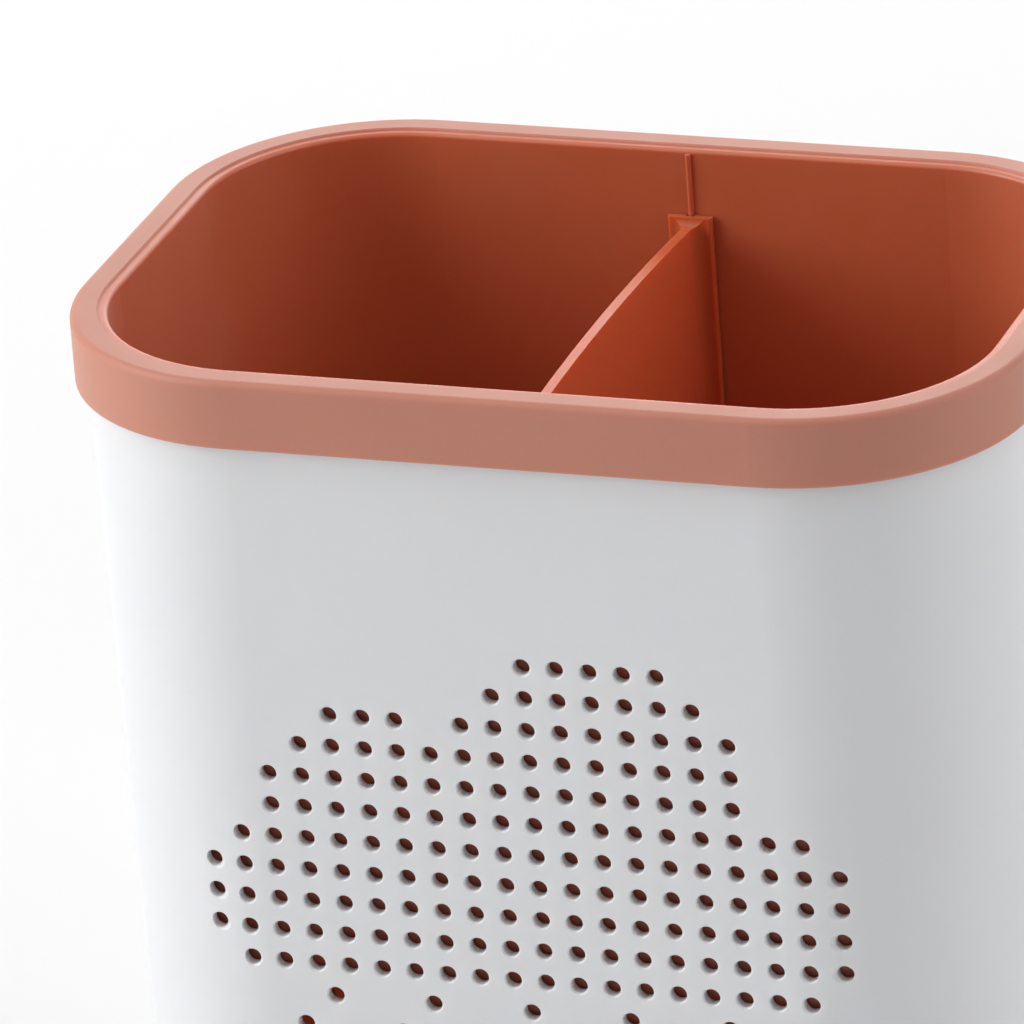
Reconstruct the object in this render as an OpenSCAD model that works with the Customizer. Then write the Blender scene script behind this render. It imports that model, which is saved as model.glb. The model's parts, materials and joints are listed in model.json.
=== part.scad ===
// Draining chopstick holder: a perforated outer shell on a drip tray, with a
// hanging liner whose lip folds over the shell, and a divider that slides into
// the liner. Every moulding is a profile carried round the same rounded
// rectangle, so all walls share the four corner axes and one draft angle.
// Millimetres, +Z up, the holder stands on z = 0, its front faces -Y.

/* [Rim] */
// Width over the rim
rim_w = 143; // [124:1:180]
// Depth over the rim
rim_d = 100; // [88:1:130]
// Outside corner radius of the rim
rim_r = 32; // [26:0.5:38]
// Height of the band that hangs over the shell
band_h = 10.5; // [8:0.5:18]
// How far the band stands out past the shell
overhang = 1.8; // [1.5:0.1:3.5]
// Thickness of the lip that rests on the shell's top edge
lip_t = 2; // [1.6:0.1:3]
// Width of the flat land round the top of the rim
land_w = 3.9; // [3:0.1:4.3]
// Depth of the small step inside the land
step_h = 0.35; // [0.2:0.05:0.6]
// Width of the slope of that step
step_w = 0.3; // [0.2:0.05:0.4]
// Radius on the rim's outer top edge
rim_round = 1; // [0.5:0.1:1.5]
// Radius on the band's lower edge
band_round = 0.6; // [0.3:0.1:0.8]
// Radius on the edge of the mouth
mouth_round = 0.6; // [0.4:0.1:1.3]

/* [Walls] */
// Height from the table to the top of the rim
total_h = 150; // [142:1:200]
// Draft of every upright wall, in degrees
draft = 0.5; // [0.2:0.1:1]
// Wall of the outer shell
shell_wall = 1.7; // [1.4:0.1:2.2]
// Wall of the liner
liner_wall = 1.4; // [1.2:0.1:2]
// Free space between the liner and the shell
liner_gap = 0.6; // [0.4:0.1:1]
// Free space between the band and the shell
band_gap = 0.3; // [0.2:0.05:0.5]

/* [Perforations] */
// Spacing of the square hole grid
hole_pitch = 5; // [4.4:0.1:5.4]
// Diameter of a hole through the wall
hole_d = 2.5; // [1.6:0.1:3]
// Width of the chamfer round each hole
hole_chamfer = 0.2; // [0.1:0.05:0.3]
// Distance from the top of the rim down to the first row of holes
first_row = 42; // [30:0.5:46]
// Streaks of rain below the cloud
rain_streaks = 5; // [2:1:5]
// Holes in one streak
rain_holes = 4; // [2:1:5]

/* [Liner floor and drains] */
// Depth of the liner below the top of the rim
liner_depth = 128; // [120:1:132]
// Thickness of the liner's floor
floor_t = 1.6; // [1.4:0.1:2.4]
// Inside radius where the liner's walls meet its floor
floor_round = 4; // [2:0.5:6]
// Width of the drain slots in the walls
wall_slot_w = 3; // [2:0.1:3.6]
// Spacing of the drain slots in the walls
wall_slot_pitch = 6; // [5:0.5:9]
// Top of the wall slots, below the top of the rim
wall_slot_top = 95; // [85:1:100]
// Length of the wall slots
wall_slot_l = 22; // [12:1:24]
// Width of the drain slots in the floor
floor_slot_w = 3; // [2:0.1:4]
// Length of the drain slots in the floor
floor_slot_l = 24; // [14:1:26]
// Spacing of the drain slots in the floor
floor_slot_pitch = 8; // [6:0.5:10]
// Floor slots in a row on each side of the divider
floor_slot_n = 6; // [2:1:6]
// Distance between the two rows of floor slots, centre to centre
floor_row_gap = 32; // [28:1:34]

/* [Divider] */
// Thickness of the divider's plate
divider_t = 1.5; // [1.2:0.1:2.5]
// Depth of the plate's top edge below the rim, where it meets the flanges
divider_drop = 11.8; // [4:0.2:30]
// How much higher the middle of the top edge is than its ends
divider_crown = 1.8; // [0.4:0.1:3]
// Width of the flange at each end of the divider
flange_w = 6.8; // [5:0.1:10]
// Thickness of that flange
flange_t = 1.1; // [1:0.1:2.5]
// How far the flanges rise above the ends of the plate
flange_rise = 1.3; // [0.6:0.1:2.5]
// Fillet between plate and flange
flange_fillet = 1.9; // [0.5:0.1:2]
// Width of the guide rib in the liner's wall
rib_w = 0.8; // [0.6:0.1:1.2]
// How far the guide rib stands off the wall
rib_h = 0.6; // [0.5:0.1:0.8]
// Running space round the divider's ends and the ribs
slide_gap = 0.3; // [0.2:0.05:0.5]

/* [Drip tray] */
// Height of the tray's outer wall
tray_h = 10; // [8:0.5:12]
// Thickness of the tray's floor
tray_floor = 2.4; // [2:0.1:3]
// Radius round the foot of the tray
tray_round = 2; // [1:0.1:3]
// Height of the upstand that centres the shell
spigot_h = 5; // [3:0.5:6]
// Thickness of the upstand
spigot_t = 1.5; // [1.2:0.1:2]
// Free space between the upstand and the shell
spigot_gap = 0.3; // [0.2:0.05:0.5]
// Radius on the edges where shell and tray meet
seam_round = 0.5; // [0.3:0.1:0.8]

/* [Foot pads] */
// Diameter of a foot pad
pad_d = 12; // [8:0.5:16]
// Thickness of a foot pad
pad_t = 2; // [1.8:0.1:2.4]
// How far a pad stands proud of the tray
pad_proud = 1; // [0.8:0.1:1.2]
// Free space round a pad in its recess
pad_gap = 0.2; // [0.1:0.05:0.4]
// Radius on the lower edge of a pad
pad_round = 0.4; // [0.2:0.1:0.6]
// How far the pads' centres lie outside the corner axes, across the width
pad_out_x = 6; // [-10:1:10]
// How far the pads' centres lie outside the corner axes, across the depth
pad_out_y = 6; // [-8:1:10]

/* [Hidden] */
$fn = 64;

white = [0.93, 0.93, 0.92];
terracotta = [0.80, 0.46, 0.35];
pad_grey = [0.55, 0.56, 0.57];

// Half distances between the corner axes that all pieces share.
core_x = rim_w / 2 - rim_r;
core_y = rim_d / 2 - rim_r;

// Levels, from the table up.
tray_z = pad_proud;
tray_floor_z = tray_z + tray_floor;
seat_z = tray_z + tray_h;
liner_z = total_h - liner_depth;
liner_floor_z = liner_z + floor_t;
band_z = total_h - band_h;
shell_top = total_h - lip_t;
ledge_z = total_h - step_h;

// Distance of each wall face from the corner axes at height z.
shell_out = function (z) rim_r - overhang - (total_h - z) * tan(draft);
shell_in = function (z) shell_out(z) - shell_wall;
liner_out = function (z) shell_in(z) - liner_gap;
liner_in = function (z) liner_out(z) - liner_wall;
band_in = rim_r - overhang + band_gap;
land_in = rim_r - land_w;
// Radius of the mouth's edge, as far as the ledge has room for it.
mouth_r = min(mouth_round, land_in - step_w - liner_in(ledge_z));
spigot_out = shell_in(seat_z) - spigot_gap;

// How far a cut runs past the face it starts from, and a joined piece into its neighbour.
over = 0.5;

function unit(v) = v / norm(v);

// The sliver between the corner b of the path a-b-c and an arc of radius r
// that touches both of its sides. It rounds an outside corner when it is
// taken away, and fills an inside corner when it is added.
module corner_sliver(a, b, c, r) {
    to_a = unit(a - b);
    to_c = unit(c - b);
    half = acos(to_a * to_c) / 2;
    centre = b + unit(to_a + to_c) * r / sin(half);
    reach = r / tan(half);
    difference() {
        polygon([b, b + to_a * reach, centre, b + to_c * reach]);
        translate(centre) circle(r);
    }
}

// A closed path whose corners listed in rounds, as [index, radius], lose
// their edge, and whose corners listed in fills gain a fillet.
module soft_profile(path, rounds = [], fills = []) {
    n = len(path);
    difference() {
        union() {
            polygon(path);
            for (f = fills)
                corner_sliver(path[(f[0] + n - 1) % n], path[f[0]], path[(f[0] + 1) % n], f[1]);
        }
        for (f = rounds)
            corner_sliver(path[(f[0] + n - 1) % n], path[f[0]], path[(f[0] + 1) % n], f[1]);
    }
}

// Centre of the arc of radius r that joins a floor at z to a wall face, and
// the path along that floor up to the point where the arc leaves for the wall.
function foot_centre(wall, z, r) = [wall(z + r) - r / cos(draft), z + r];
function foot_path(wall, z, r) = [
    [0, z],
    [foot_centre(wall, z, r).x, z],
    foot_centre(wall, z, r) + r * [cos(draft), -sin(draft)]
];

// A profile carried straight along Y over the given length.
module straight(length) {
    translate([0, length / 2, 0]) rotate([90, 0, 0]) linear_extrude(length) children();
}

// A profile of distance from the corner axis against height, carried once
// round the rounded rectangle: four quarter turns and four straight sides.
module carried_round() {
    for (side = [0, 180]) rotate([0, 0, side]) {
        translate([core_x, core_y, 0]) rotate_extrude(angle = 90) children();
        translate([-core_x, core_y, 0]) rotate([0, 0, 90]) rotate_extrude(angle = 90) children();
        translate([core_x, 0, 0]) straight(2 * core_y) children();
        rotate([0, 0, 90]) translate([core_y, 0, 0]) straight(2 * core_x) children();
    }
}

// The part of a floor that lies between the corner axes, lapped over its edges.
module floor_core(z, t) {
    translate([-core_x - over, -core_y - over, z]) cube([2 * (core_x + over), 2 * (core_y + over), t]);
}

// A slot with round ends, l long over all, along Y and flat in XY.
module slot_outline(w, l) {
    square([w, l - w], center = true);
    for (end = [-1, 1]) translate([0, end * (l - w) / 2]) circle(d = w);
}

// Foot pads
module at_pad(side_x, side_y) {
    translate([side_x * (core_x + pad_out_x), side_y * (core_y + pad_out_y), 0]) children();
}

module foot_pad(side_x, side_y) {
    outline = [[0, 0], [pad_d / 2, 0], [pad_d / 2, pad_t], [0, pad_t]];
    color(pad_grey) at_pad(side_x, side_y)
        rotate_extrude() soft_profile(outline, rounds = [[1, pad_round]]);
}

// Drip tray
module drip_tray() {
    outline = [
        [0, tray_z],
        [shell_out(tray_z), tray_z],
        [shell_out(seat_z), seat_z],
        [spigot_out, seat_z],
        [spigot_out, seat_z + spigot_h],
        [spigot_out - spigot_t, seat_z + spigot_h],
        [spigot_out - spigot_t, tray_floor_z],
        [0, tray_floor_z]
    ];
    color(white) difference() {
        union() {
            carried_round()
                soft_profile(outline,
                    rounds = [[1, tray_round], [2, seam_round], [4, seam_round]],
                    fills = [[6, tray_round]]);
            floor_core(tray_z, tray_floor);
        }
        for (side_x = [-1, 1], side_y = [-1, 1])
            at_pad(side_x, side_y) cylinder(h = pad_t, d = pad_d + 2 * pad_gap);
    }
}

// Outer shell with its cloud and rain
// Columns and rows of the cloud's grid, and columns from streak to streak.
cloud_cols = 20;
cloud_rows = 11;
rain_step = 3;
// Lobes of the cloud as [column, row, radius], in hole spacings.
cloud_lobes = [[12, 3.5, 4.45], [5, 5, 3.4], [3, 8, 3.4], [16, 7.5, 3.6]];
// First and last column and first row of the block that joins the lobes.
cloud_block = [3, 16, 5];
// Column of the first streak's top hole, which lies half a step off the grid.
rain_col = 3.5;

function in_lobe(col, row, lobe) = norm([col - lobe[0], row - lobe[1]]) <= lobe[2];
function in_block(col, row) = col >= cloud_block[0] && col <= cloud_block[1] && row >= cloud_block[2];
function in_cloud(col, row) =
    in_block(col, row) || len([for (lobe = cloud_lobes) if (in_lobe(col, row, lobe)) 1]) > 0;

function hole_x(col) = (col - (cloud_cols - 1) / 2) * hole_pitch;
function hole_z(row) = total_h - first_row - row * hole_pitch;
// Distance of the shell's front face from the middle, at x and z.
function face_y(x, z) =
    core_y + sqrt(pow(shell_out(z), 2) - pow(max(0, abs(x) - core_x), 2));

// One hole along Y through the front wall, with its outer edge chamfered.
module wall_hole(col, row) {
    x = hole_x(col);
    z = hole_z(row);
    front = -face_y(x, z);
    r = hole_d / 2;
    depth = shell_out(z) + core_y + front + 3 * shell_wall;
    translate([x, front, z]) rotate([-90, 0, 0]) {
        translate([0, 0, -over]) cylinder(h = over + depth, r = r);
        translate([0, 0, -over]) cylinder(h = over + hole_chamfer, r1 = r + hole_chamfer + over, r2 = r);
    }
}

module perforations() {
    for (row = [0 : cloud_rows - 1], col = [0 : cloud_cols - 1])
        if (in_cloud(col, row)) wall_hole(col, row);
    for (streak = [0 : rain_streaks - 1], drop = [0 : rain_holes - 1])
        wall_hole(rain_col + streak * rain_step - drop, cloud_rows + drop);
}

module outer_shell() {
    outline = [
        [shell_in(seat_z), seat_z],
        [shell_out(seat_z), seat_z],
        [shell_out(shell_top), shell_top],
        [shell_in(shell_top), shell_top]
    ];
    color(white) difference() {
        carried_round()
            soft_profile(outline, rounds = [[1, seam_round], [2, seam_round], [3, seam_round]]);
        perforations();
    }
}

// Inner liner
// Outside of the liner with its folded lip, closed by a lid at the ledge.
module liner_outside() {
    foot_r = floor_round + liner_wall;
    lip = [
        [liner_out(shell_top), shell_top],
        [band_in, shell_top],
        [band_in, band_z],
        [rim_r, band_z],
        [rim_r, total_h],
        [land_in, total_h],
        [land_in - step_w, ledge_z],
        [0, ledge_z]
    ];
    translate(foot_centre(liner_out, liner_z, foot_r)) circle(foot_r);
    soft_profile(concat(foot_path(liner_out, liner_z, foot_r), lip),
        rounds = [[6, band_round], [7, rim_round]]);
}

// Space inside the liner, with a round foot and a mouth that opens in an arc.
module liner_space() {
    foot = foot_path(liner_in, liner_floor_z, floor_round);
    top = ledge_z + over;
    translate(foot_centre(liner_in, liner_floor_z, floor_round)) circle(floor_round);
    polygon(concat(foot, [[liner_in(top), top], [0, top]]));
    corner_sliver([land_in, ledge_z], [liner_in(ledge_z), ledge_z], foot[2], mouth_r);
}

module liner_body() {
    carried_round() difference() {
        liner_outside();
        liner_space();
    }
    floor_core(liner_z, floor_t);
}

// Guide ribs on the front and back walls, which lean with the draft.
module guide_ribs() {
    z = liner_floor_z - over;
    top = ledge_z - mouth_r;
    for (side = [0, 180]) rotate([0, 0, side])
        translate([0, core_y + liner_in(z), z]) rotate([-draft, 0, 0])
            linear_extrude((top - z) / cos(draft)) {
                translate([-rib_w / 2, -rib_h + rib_w / 2]) square([rib_w, rib_h]);
                translate([0, -rib_h + rib_w / 2]) circle(d = rib_w);
            }
}

// Slots through all four walls, as many as fit between the corner axes.
module wall_slots() {
    z = total_h - wall_slot_top - wall_slot_l / 2;
    reach = 2 * (core_x + rim_r);
    count_x = floor((2 * core_x - wall_slot_w) / wall_slot_pitch / 2);
    count_y = floor((2 * core_y - wall_slot_w) / wall_slot_pitch / 2);
    for (i = [-count_x : count_x]) if (i != 0)
        translate([i * wall_slot_pitch, reach / 2, z]) rotate([90, 0, 0])
            linear_extrude(reach) slot_outline(wall_slot_w, wall_slot_l);
    for (i = [-count_y : count_y])
        translate([reach / 2, i * wall_slot_pitch, z]) rotate([90, 0, -90])
            linear_extrude(reach) slot_outline(wall_slot_w, wall_slot_l);
}

// Two rows of slots through the floor on each side of the divider.
module floor_slots() {
    for (side_x = [-1, 1], side_y = [-1, 1], i = [1 : floor_slot_n])
        translate([side_x * i * floor_slot_pitch, side_y * floor_row_gap / 2, liner_z - over])
            linear_extrude(floor_t + 2 * over) slot_outline(floor_slot_w, floor_slot_l);
}

module inner_liner() {
    color(terracotta) difference() {
        union() {
            liner_body();
            guide_ribs();
        }
        wall_slots();
        floor_slots();
    }
}

// Divider
// Half length of the divider at height z, wall to wall less the running space.
divider_reach = function (z) core_y + liner_in(z) - slide_gap;

// Plan of one end: a flange with fillets to the plate and a groove for the rib.
// The outer face lies on Y = 0 and the plate leaves along -Y.
module end_plan() {
    half = flange_w / 2;
    plate = divider_t / 2;
    arm_round = flange_t * 0.45;
    fillet = min(flange_fillet, half - plate - arm_round - 0.05);
    tail = flange_t + fillet;
    groove_w = rib_w / 2 + slide_gap;
    groove_t = rib_h;
    outline = [
        [plate, -tail], [plate, -flange_t], [half, -flange_t], [half, 0],
        [-half, 0], [-half, -flange_t], [-plate, -flange_t], [-plate, -tail]
    ];
    difference() {
        soft_profile(outline,
            rounds = [[2, arm_round], [3, flange_t * 0.2], [4, flange_t * 0.2], [5, arm_round]],
            fills = [[1, fillet], [6, fillet]]);
        translate([-groove_w, -groove_t]) square([2 * groove_w, groove_t + over]);
    }
}

// Side view of the divider: its ends follow the walls, its lower corners stay
// clear of the liner's round foot, and its top edge is one low arc that turns
// up in a fillet to the tops of the flanges.
module divider_side() {
    z = liner_floor_z;
    top = total_h - divider_drop;
    above = top + 2 * divider_crown + flange_rise;
    corner_r = floor_round + 2 * slide_gap;
    corner = foot_centre(divider_reach, z, corner_r);
    half = concat(foot_path(divider_reach, z, corner_r), [[divider_reach(above), above], [0, above]]);
    inner = divider_reach(top) - flange_t;
    crown_r = (pow(inner, 2) + pow(divider_crown, 2)) / (2 * divider_crown);
    rise = [
        [inner, top - flange_rise], [inner + 2 * flange_t, top - flange_rise],
        [inner + 2 * flange_t, top + flange_rise], [inner, top + flange_rise]
    ];
    intersection() {
        for (side = [0, 1]) mirror([side, 0]) {
            polygon(half);
            translate(corner) circle(corner_r);
        }
        union() {
            translate([0, top + divider_crown - crown_r]) circle(crown_r, $fn = 360);
            for (side = [0, 1]) mirror([side, 0]) {
                polygon(rise);
                corner_sliver([inner, top + flange_rise], [inner, top], [0, top], flange_rise);
            }
        }
    }
}

module divider() {
    foot = liner_floor_z - over;
    h = total_h - divider_drop + 2 * divider_crown + flange_rise - foot;
    plate_reach = divider_reach(foot) - flange_t;
    color(terracotta) intersection() {
        union() {
            translate([-divider_t / 2, -plate_reach, foot]) cube([divider_t, 2 * plate_reach, h]);
            for (side = [0, 180]) rotate([0, 0, side])
                translate([0, divider_reach(foot), foot]) rotate([-draft, 0, 0])
                    linear_extrude(h / cos(draft)) end_plan();
        }
        translate([-flange_w, 0, 0]) rotate([90, 0, 90]) linear_extrude(2 * flange_w) divider_side();
    }
}

drip_tray();
foot_pad(-1, -1);  // foot_pad_front_left
foot_pad(1, -1);  // foot_pad_front_right
foot_pad(-1, 1);  // foot_pad_back_left
foot_pad(1, 1);  // foot_pad_back_right
outer_shell();
inner_liner();
divider();
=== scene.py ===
"""Looks of a draining chopstick holder: white perforated shell, terracotta liner and divider.

Every solid of the frame gets its moulded finish here and is shown as it is. The liner alone is
shown by a copy of its own surface, in which a flaw of the solid is pressed flat.
Metres throughout. The holder stands on z = 0 and its perforated front faces -Y.
"""
import json
import math

import bpy
import numpy as np
from mathutils import Matrix, Vector


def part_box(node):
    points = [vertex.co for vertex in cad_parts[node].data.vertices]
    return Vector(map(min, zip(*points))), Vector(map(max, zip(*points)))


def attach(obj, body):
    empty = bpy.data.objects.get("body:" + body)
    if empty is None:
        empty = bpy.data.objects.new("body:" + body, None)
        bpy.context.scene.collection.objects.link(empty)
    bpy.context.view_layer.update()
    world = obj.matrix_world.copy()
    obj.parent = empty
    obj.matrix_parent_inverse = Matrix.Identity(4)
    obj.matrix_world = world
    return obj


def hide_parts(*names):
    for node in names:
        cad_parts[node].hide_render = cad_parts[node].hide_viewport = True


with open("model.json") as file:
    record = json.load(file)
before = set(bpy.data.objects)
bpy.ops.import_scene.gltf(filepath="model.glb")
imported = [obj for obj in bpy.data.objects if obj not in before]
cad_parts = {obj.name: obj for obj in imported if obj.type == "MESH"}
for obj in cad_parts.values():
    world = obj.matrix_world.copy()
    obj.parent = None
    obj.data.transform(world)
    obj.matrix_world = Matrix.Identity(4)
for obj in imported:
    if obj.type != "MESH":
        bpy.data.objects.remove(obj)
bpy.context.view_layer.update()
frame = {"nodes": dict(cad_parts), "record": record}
MM = 0.001

# The rim's outer corner radius, and how far from the corner axes its land begins.
RIM_RADIUS = 32 * MM
MOUTH_EDGE = 27.9 * MM
# Middle of the liner's wall, from the corner axes, where it would reach z = 0, and its draft.
WALL_MIDDLE = 25.89 * MM
DRAFT = math.radians(0.5)
LIP_UNDERSIDE = 148 * MM
# One tint of the liner turns into the next over this much to either side of their border.
RIM_BLEND = 0.1 * MM
WALL_BLEND = 0.2 * MM

# Foot and top of the fin of no thickness that the liner's solid has in its mouth's rounding.
FIN_FOOT = 149.065 * MM
FIN_TOP = 149.4154 * MM
# The fin's points lie this near to those heights, and a top point this near to one of the foot.
FIN_LEVEL = 0.003 * MM
FIN_REACH = 0.01 * MM
# Points that round to the same cell of this size are one.
JOINING_CELL = 0.0005 * MM

# Tints of the finishes: the plain one, and the one of its clouds and streaks.
WHITE_TINTS = ((0.775, 0.775, 0.785), (0.76, 0.76, 0.773))
INSIDE_TINTS = ((0.59, 0.13, 0.04), (0.57, 0.12, 0.036))
# Outside of the liner's wall: darker, painted shade of the narrow gap behind the shell's holes.
SHADED_WALL_TINTS = ((0.40, 0.078, 0.030), (0.38, 0.070, 0.027))
# Rim: whiter, painted sheen that stands in for the white reflections of its land and band.
RIM_TINTS = ((0.53, 0.20, 0.125), (0.51, 0.185, 0.115))
DIVIDER_TINTS = ((0.60, 0.125, 0.036), (0.58, 0.115, 0.032))
RUBBER_TINTS = ((0.10, 0.10, 0.105), (0.15, 0.15, 0.155))

# Roughness of each finish, from its smoothest patches to its roughest.
WHITE_ROUGHNESS = (0.40, 0.48)
DIVIDER_ROUGHNESS = (0.36, 0.44)
RUBBER_ROUGHNESS = (0.7, 0.85)
# Roughness of the liner's walls and of its rim, and how far its patches swing about them.
LINER_ROUGHNESS = (0.44, 0.6)
LINER_SWING = 0.04

# How large the lumps of each pattern are, and how high the raised ones stand.
CLOUD_SIZE = 30 * MM
STREAK_SIZE = 5 * MM
STREAK_STRETCH = (1, 1, 0.12)
STREAK_STRENGTH = 0.25
PATCH_SIZE = 12 * MM
GRAIN_SIZE = 0.28 * MM
GRAIN_DEPTH = 0.006 * MM
WAVE_SIZE = 22 * MM
WAVE_DEPTH = 12 * GRAIN_DEPTH
DUST_SIZE = 3 * MM
PIT_SIZE = 0.35 * MM
PIT_DEPTH = 0.03 * MM

PLASTIC_IOR = 1.49
SHEEN_ROUGHNESS = 0.45

# The Mix node's own numbers for its sockets when it mixes colours.
MIX_FACTOR = 0
MIX_FIRST = 6
MIX_SECOND = 7
MIX_RESULT = 2


def shader_nodes(name):
    """A new material with its nodes and its Principled shader."""
    mat = bpy.data.materials.new(name)
    mat.use_nodes = True
    tree = mat.node_tree
    shader = next(n for n in tree.nodes if n.type == "BSDF_PRINCIPLED")
    return mat, tree, shader


def feed(tree, socket, source):
    """Links another node's output to the socket, or sets the number or colour as its value."""
    if isinstance(source, bpy.types.NodeSocket):
        tree.links.new(source, socket)
    else:
        socket.default_value = source


def place(tree, scale=(1, 1, 1)):
    """Object coordinates, stretched by scale along the three axes."""
    coords = tree.nodes.new("ShaderNodeTexCoord")
    mapping = tree.nodes.new("ShaderNodeMapping")
    mapping.inputs["Scale"].default_value = scale
    tree.links.new(coords.outputs["Object"], mapping.inputs["Vector"])
    return mapping.outputs["Vector"]


def noise(tree, size, detail=2.0, roughness=0.5, stretch=(1, 1, 1)):
    """Noise whose lumps are about size metres across before the stretch."""
    node = tree.nodes.new("ShaderNodeTexNoise")
    node.inputs["Scale"].default_value = 1 / size
    node.inputs["Detail"].default_value = detail
    node.inputs["Roughness"].default_value = roughness
    tree.links.new(place(tree, stretch), node.inputs["Vector"])
    return node.outputs["Fac"]


def graded(tree, value, low, high, start=0.3, end=0.7):
    """A number that runs from low to high as value runs from start to end.

    Without a start and an end it spreads a noise, which seldom leaves 0.3 to 0.7.
    """
    node = tree.nodes.new("ShaderNodeMapRange")
    for key, number in (("From Min", start), ("From Max", end), ("To Min", low), ("To Max", high)):
        node.inputs[key].default_value = number
    tree.links.new(value, node.inputs["Value"])
    return node.outputs["Result"]


def computed(tree, operation, *terms):
    """What the Math node's operation makes of its terms, numbers or other nodes' outputs."""
    node = tree.nodes.new("ShaderNodeMath")
    node.operation = operation
    for socket, term in zip(node.inputs, terms):
        feed(tree, socket, term)
    return node.outputs[0]


def mixed(tree, factor, first, second):
    """The colour between first and second that factor picks."""
    node = tree.nodes.new("ShaderNodeMix")
    node.data_type = "RGBA"
    for number, colour in ((MIX_FIRST, first), (MIX_SECOND, second)):
        feed(tree, node.inputs[number], (*colour, 1) if isinstance(colour, tuple) else colour)
    tree.links.new(factor, node.inputs[MIX_FACTOR])
    return node.outputs[MIX_RESULT]


def bump(tree, height, depth, under=None):
    """A normal raised by height, times depth metres, on top of the normal under it."""
    node = tree.nodes.new("ShaderNodeBump")
    node.inputs["Distance"].default_value = depth
    tree.links.new(height, node.inputs["Height"])
    if under is not None:
        tree.links.new(under, node.inputs["Normal"])
    return node.outputs["Normal"]


def clouded(tree, colour, cloudy):
    """The colour with soft clouds and upright flow streaks of the cloudy one."""
    clouds = graded(tree, noise(tree, CLOUD_SIZE, detail=3), 0, 1)
    flow = noise(tree, STREAK_SIZE, stretch=STREAK_STRETCH)
    streaks = graded(tree, flow, 0, STREAK_STRENGTH, start=0, end=1)
    return mixed(tree, streaks, mixed(tree, clouds, colour, cloudy), cloudy)


def patched(tree, low, high):
    """A number that wanders from low to high in soft patches."""
    return graded(tree, noise(tree, PATCH_SIZE, detail=3), low, high)


def from_axes(tree):
    """Distance from the rim's four corner axes, and the height, in metres.

    The axes stand in the corners of a core, the liner's box less the rim's radius all round. From
    a point's x, y and z, all taken as positive, the core's are taken off, and what falls below 0
    is made 0. The distance is the length of the rest, to which z adds nothing below the top.
    """
    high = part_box("inner_liner")[1]
    coords = tree.nodes.new("ShaderNodeTexCoord")
    split = tree.nodes.new("ShaderNodeSeparateXYZ")
    tree.links.new(coords.outputs["Object"], split.inputs[0])
    core = (high[0] - RIM_RADIUS, high[1] - RIM_RADIUS, high[2])
    steps = (("ABSOLUTE", None), ("SUBTRACT", core), ("MAXIMUM", (0, 0, 0)), ("LENGTH", None))
    value = coords.outputs["Object"]
    for operation, term in steps:
        node = tree.nodes.new("ShaderNodeVectorMath")
        node.operation = operation
        tree.links.new(value, node.inputs[0])
        if term is not None:
            node.inputs[1].default_value = term
        value = node.outputs["Value" if operation == "LENGTH" else "Vector"]
    return value, split.outputs["Z"]


def rim_face(tree):
    """1 on the rim's land and band, 0 on the walls."""
    distance = from_axes(tree)[0]
    return graded(tree, distance, 0, 1, MOUTH_EDGE - RIM_BLEND, MOUTH_EDGE + RIM_BLEND)


def wall_shade_mask(tree):
    """1 on the outside of the liner's wall below the lip, where its painted shade goes, else 0.

    A point is outside when its distance from the corner axes, less its height times the
    tangent of the draft, is more than that of the middle of the wall.
    """
    distance, height = from_axes(tree)
    upright = computed(tree, "MULTIPLY_ADD", height, -math.tan(DRAFT), distance)
    outside = graded(tree, upright, 0, 1, WALL_MIDDLE - WALL_BLEND, WALL_MIDDLE + WALL_BLEND)
    below = graded(tree, height, 1, 0, LIP_UNDERSIDE - WALL_BLEND, LIP_UNDERSIDE + WALL_BLEND)
    return computed(tree, "MULTIPLY", outside, below)


def moulded_plastic(name, shine, sheen, glow, glow_depth):
    """Satin polypropylene: a fine eroded grain over slow waves, and light that soaks in.

    shine and sheen are how strongly it reflects, glow is the share of the light that soaks in,
    and glow_depth is how far its red, green and blue get, in millimetres.
    """
    mat, tree, shader = shader_nodes(name)
    fine = bump(tree, noise(tree, GRAIN_SIZE, roughness=0.6), GRAIN_DEPTH)
    wavy = bump(tree, noise(tree, WAVE_SIZE, detail=1), WAVE_DEPTH, fine)
    tree.links.new(wavy, shader.inputs["Normal"])
    shader.inputs["IOR"].default_value = PLASTIC_IOR
    shader.inputs["Specular IOR Level"].default_value = shine
    shader.inputs["Sheen Weight"].default_value = sheen
    shader.inputs["Sheen Roughness"].default_value = SHEEN_ROUGHNESS
    shader.inputs["Subsurface Weight"].default_value = glow
    shader.inputs["Subsurface Radius"].default_value = glow_depth
    shader.inputs["Subsurface Scale"].default_value = MM
    return mat, tree, shader


def white_plastic():
    """Milky white polypropylene of the shell and the tray."""
    mat, tree, shader = moulded_plastic(
        "white_polypropylene", shine=1, sheen=0, glow=0.6, glow_depth=(3.2, 2.6, 2.2)
    )
    tree.links.new(patched(tree, *WHITE_ROUGHNESS), shader.inputs["Roughness"])
    tree.links.new(clouded(tree, *WHITE_TINTS), shader.inputs["Base Color"])
    return mat


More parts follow.
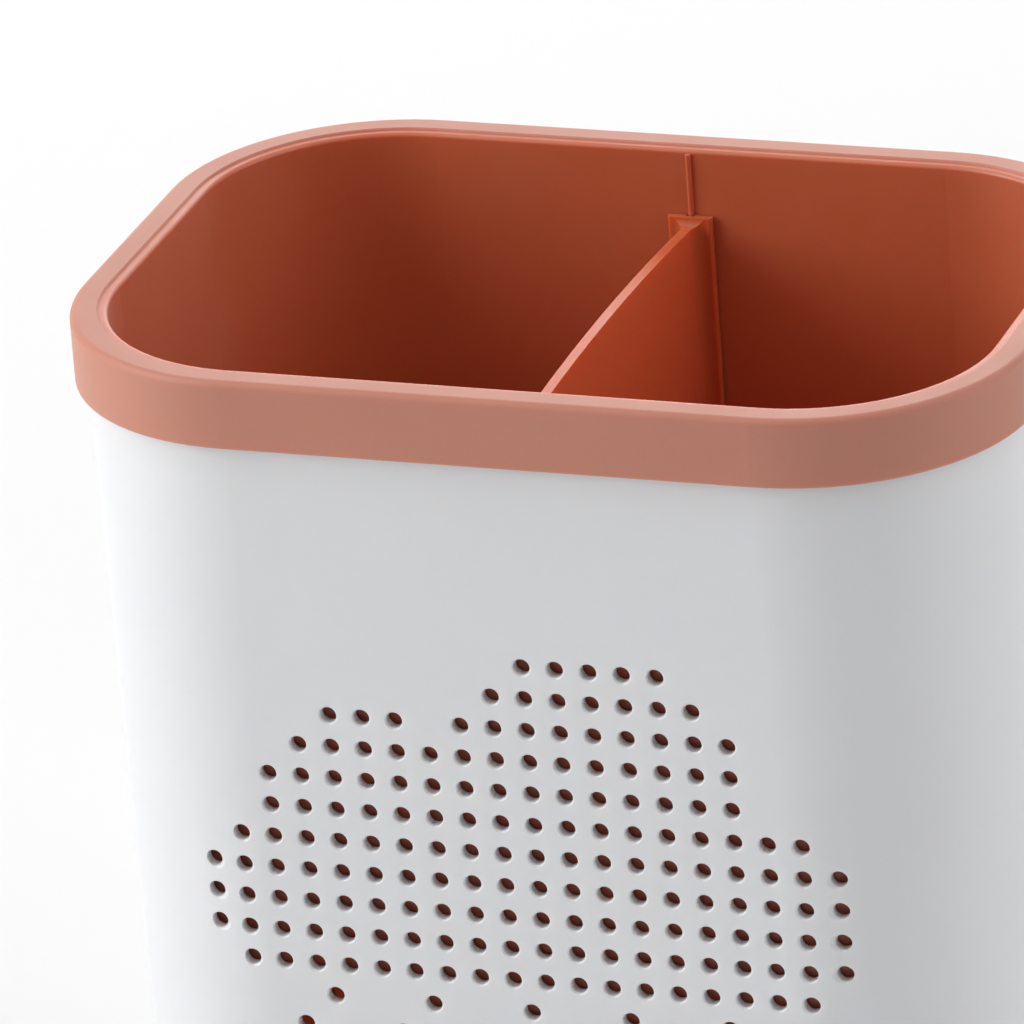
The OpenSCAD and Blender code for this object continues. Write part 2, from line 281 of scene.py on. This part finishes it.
def terracotta_plastic():
    """The liner's terracotta, whitened on its rim by painted sheen and darkened on the outside of
    its wall by painted shade.
    """
    mat, tree, shader = moulded_plastic(
        "terracotta_polypropylene", shine=1, sheen=0.2, glow=0.4, glow_depth=(2.8, 0.7, 0.3)
    )
    inside = clouded(tree, *INSIDE_TINTS)
    # The wall's outside gets a darker tint: painted shade of the gap behind the shell's holes.
    outside = clouded(tree, *SHADED_WALL_TINTS)
    rim = clouded(tree, *RIM_TINTS)
    # The rim's share: it whitens the tint with painted sheen and makes the surface rougher.
    rim_sheen_and_roughness = rim_face(tree)
    tint = mixed(tree, rim_sheen_and_roughness, mixed(tree, wall_shade_mask(tree), inside, outside), rim)
    tree.links.new(tint, shader.inputs["Base Color"])
    plain = graded(tree, rim_sheen_and_roughness, *LINER_ROUGHNESS, start=0, end=1)
    rough = computed(tree, "ADD", plain, patched(tree, -LINER_SWING, LINER_SWING))
    tree.links.new(rough, shader.inputs["Roughness"])
    return mat


def thin_terracotta():
    """The divider's terracotta: thin enough for light to glow through, so warmer, with less sheen.
    """
    mat, tree, shader = moulded_plastic(
        "terracotta_thin_wall", shine=0.5, sheen=0.05, glow=0.65, glow_depth=(3.8, 0.8, 0.3)
    )
    tree.links.new(clouded(tree, *DIVIDER_TINTS), shader.inputs["Base Color"])
    tree.links.new(patched(tree, *DIVIDER_ROUGHNESS), shader.inputs["Roughness"])
    return mat


def pad_rubber():
    """Matt grey rubber of the foot pads, dusty and finely pitted."""
    mat, tree, shader = shader_nodes("grey_rubber")
    dust = graded(tree, noise(tree, DUST_SIZE, detail=4, roughness=0.6), 0, 1)
    tree.links.new(mixed(tree, dust, *RUBBER_TINTS), shader.inputs["Base Color"])
    rough = graded(tree, dust, *RUBBER_ROUGHNESS, start=0, end=1)
    tree.links.new(rough, shader.inputs["Roughness"])
    pitted = bump(tree, noise(tree, PIT_SIZE, detail=3), PIT_DEPTH)
    tree.links.new(pitted, shader.inputs["Normal"])
    return mat


def finish_solids():
    """Gives every solid its slot's finish, and the divider the terracotta of a thin wall."""
    finishes = {
        "shell_white": white_plastic(),
        "liner_terracotta": terracotta_plastic(),
        "foot_pad": pad_rubber(),
    }
    for row in frame["record"]["subparts"]:
        mesh = frame["nodes"][row["node"]].data
        mesh.materials.clear()
        mesh.materials.append(finishes[row["material_slot"]])
    frame["nodes"]["divider"].data.materials[0] = thin_terracotta()


def added(name, data):
    """A new object of the scene, made of the data."""
    item = bpy.data.objects.new(name, data)
    bpy.context.scene.collection.objects.link(item)
    return item


def rows_of(items, attribute, width, kind):
    """An attribute of a mesh's vertices or corners as an array, one row of numbers for each."""
    values = np.empty((len(items), width), kind)
    items.foreach_get(attribute, values.reshape(-1))
    return values


def liner_moulding():
    """The liner's own surface, with the fin in its mouth's rounding pressed flat.

    Each point of the fin's top moves to the nearest point of its foot, points that lie
    together are joined, and the triangles that this leaves without area are dropped.
    """
    solid = frame["nodes"]["inner_liner"].data
    points = rows_of(solid.vertices, "co", 3, np.float32)
    corners = rows_of(solid.loops, "vertex_index", 1, np.int32).reshape(-1)
    normals = rows_of(solid.corner_normals, "vector", 3, np.float32).reshape(-1, 3, 3)
    top = np.flatnonzero(abs(points[:, 2] - FIN_TOP) < FIN_LEVEL)
    foot = np.flatnonzero(abs(points[:, 2] - FIN_FOOT) < FIN_LEVEL)
    apart = np.linalg.norm(points[top, None, :2] - points[None, foot, :2], axis=2)
    near = apart.min(axis=1) < FIN_REACH
    points[top[near]] = points[foot[apart.argmin(axis=1)[near]]]
    cells = np.round(points / JOINING_CELL)
    first, joined = np.unique(cells, axis=0, return_index=True, return_inverse=True)[1:]
    triangles = joined.reshape(-1)[corners].reshape(-1, 3)
    whole = (triangles != np.roll(triangles, 1, axis=1)).all(axis=1)
    mesh = bpy.data.meshes.new("liner_moulding")
    mesh.from_pydata(points[first].tolist(), [], triangles[whole].tolist())
    mesh.shade_smooth()
    mesh.normals_split_custom_set(normals[whole].reshape(-1, 3).tolist())
    mesh.materials.append(solid.materials[0])
    moulding = added("liner_moulding", mesh)
    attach(moulding, "liner")
    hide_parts("inner_liner")


def outward(azimuth, elevation):
    """The direction at the azimuth, in degrees from the front to the right, and the elevation."""
    a = math.radians(azimuth)
    e = math.radians(elevation)
    return Vector((math.sin(a) * math.cos(e), -math.cos(a) * math.cos(e), math.sin(e)))


# The camera that took the photograph, from the rim's outlines and the grid of holes. Angles are
# in degrees, lens and sensor in millimetres, and the rest in metres.
VIEW_AZIMUTH = 20.72
VIEW_ELEVATION = 23.69
VIEW_ROLL = -4.41
VIEW_DISTANCE = 1.6745
VIEW_TARGET = Vector((-0.01512, 0.00007, 0.10975))
VIEW_LENS = 404.3
VIEW_SENSOR = 36
VIEW_NEAREST = 0.05
VIEW_FARTHEST = 50


def photo_camera():
    """The camera looks at the target from the given angles, and leans by the roll."""
    a = math.radians(VIEW_AZIMUTH)
    roll = math.radians(VIEW_ROLL)
    back = outward(VIEW_AZIMUTH, VIEW_ELEVATION)
    level = Vector((math.cos(a), math.sin(a), 0))
    upright = back.cross(level)
    right = level * math.cos(roll) + upright * math.sin(roll)
    up = upright * math.cos(roll) - level * math.sin(roll)
    data = bpy.data.cameras.new("photo_camera")
    data.sensor_width = VIEW_SENSOR
    data.lens = VIEW_LENS
    data.clip_start = VIEW_NEAREST
    data.clip_end = VIEW_FARTHEST
    camera = added("photo_camera", data)
    turn = Matrix((right, up, back)).transposed().to_4x4()
    camera.matrix_world = Matrix.Translation(VIEW_TARGET + back * VIEW_DISTANCE) @ turn
    bpy.context.scene.camera = camera


# Soft boxes round the holder: name, azimuth from the front and elevation in degrees, and the
# brightness that a white card facing the box would have.
SOFT_BOXES = (
    ("left_low", -60, 20, 0.56),
    ("left_high", -60, 50, 0.17),
    ("side_left_low", -90, 20, 0.08),
    ("side_left_high", -90, 50, 0.165),
    ("back_left_low", -150, 20, 0.25),
    ("back_low", 180, 20, 0.36),
    ("back_right_low", 120, 20, 0.06),
    ("back_right_high", 120, 50, 0.04),
    ("right_low", 90, 20, 0.20),
    ("right_high", 90, 50, 0.17),
    ("overhead", 0, 89, 0.07),
)
# The point that the boxes face, their distance from it and the length of their sides.
BOX_AIM = Vector((0, 0, 0.1))
BOX_DISTANCE = 1.8
BOX_SIZE = 1.2

ROOM_COLOUR = (1, 1, 1, 1)
ROOM_STRENGTH = 0.2
# How far the floor reaches from the holder on each side.
FLOOR_REACH = 8
FLOOR_COLOUR = (0.82, 0.82, 0.82, 1)
FLOOR_ROUGHNESS = 0.8


def soft_light(name, azimuth, elevation, strength):
    """A square area light that faces the middle of the holder from the given angles."""
    away = outward(azimuth, elevation)
    data = bpy.data.lights.new(name, "AREA")
    data.size = BOX_SIZE
    data.energy = strength * (math.pi * BOX_DISTANCE) ** 2
    light = added(name, data)
    turn = away.to_track_quat("Z", "Y").to_matrix().to_4x4()
    light.matrix_world = Matrix.Translation(BOX_AIM + away * BOX_DISTANCE) @ turn


def studio():
    """Pale floor, pale surroundings and the soft boxes."""
    mesh = bpy.data.meshes.new("floor")
    signs = ((-1, -1), (1, -1), (1, 1), (-1, 1))
    mesh.from_pydata([(x * FLOOR_REACH, y * FLOOR_REACH, 0) for x, y in signs], [], [(0, 1, 2, 3)])
    floor = added("floor", mesh)
    mat, _, shader = shader_nodes("pale_floor")
    shader.inputs["Base Color"].default_value = FLOOR_COLOUR
    shader.inputs["Roughness"].default_value = FLOOR_ROUGHNESS
    mesh.materials.append(mat)
    world = bpy.data.worlds.new("pale_room")
    world.use_nodes = True
    background = world.node_tree.nodes["Background"]
    background.inputs["Color"].default_value = ROOM_COLOUR
    background.inputs["Strength"].default_value = ROOM_STRENGTH
    bpy.context.scene.world = world
    for box in SOFT_BOXES:
        soft_light(*box)
    view = bpy.context.scene.view_settings
    view.view_transform = "Standard"
    view.look = "None"


finish_solids()
liner_moulding()
photo_camera()
studio()
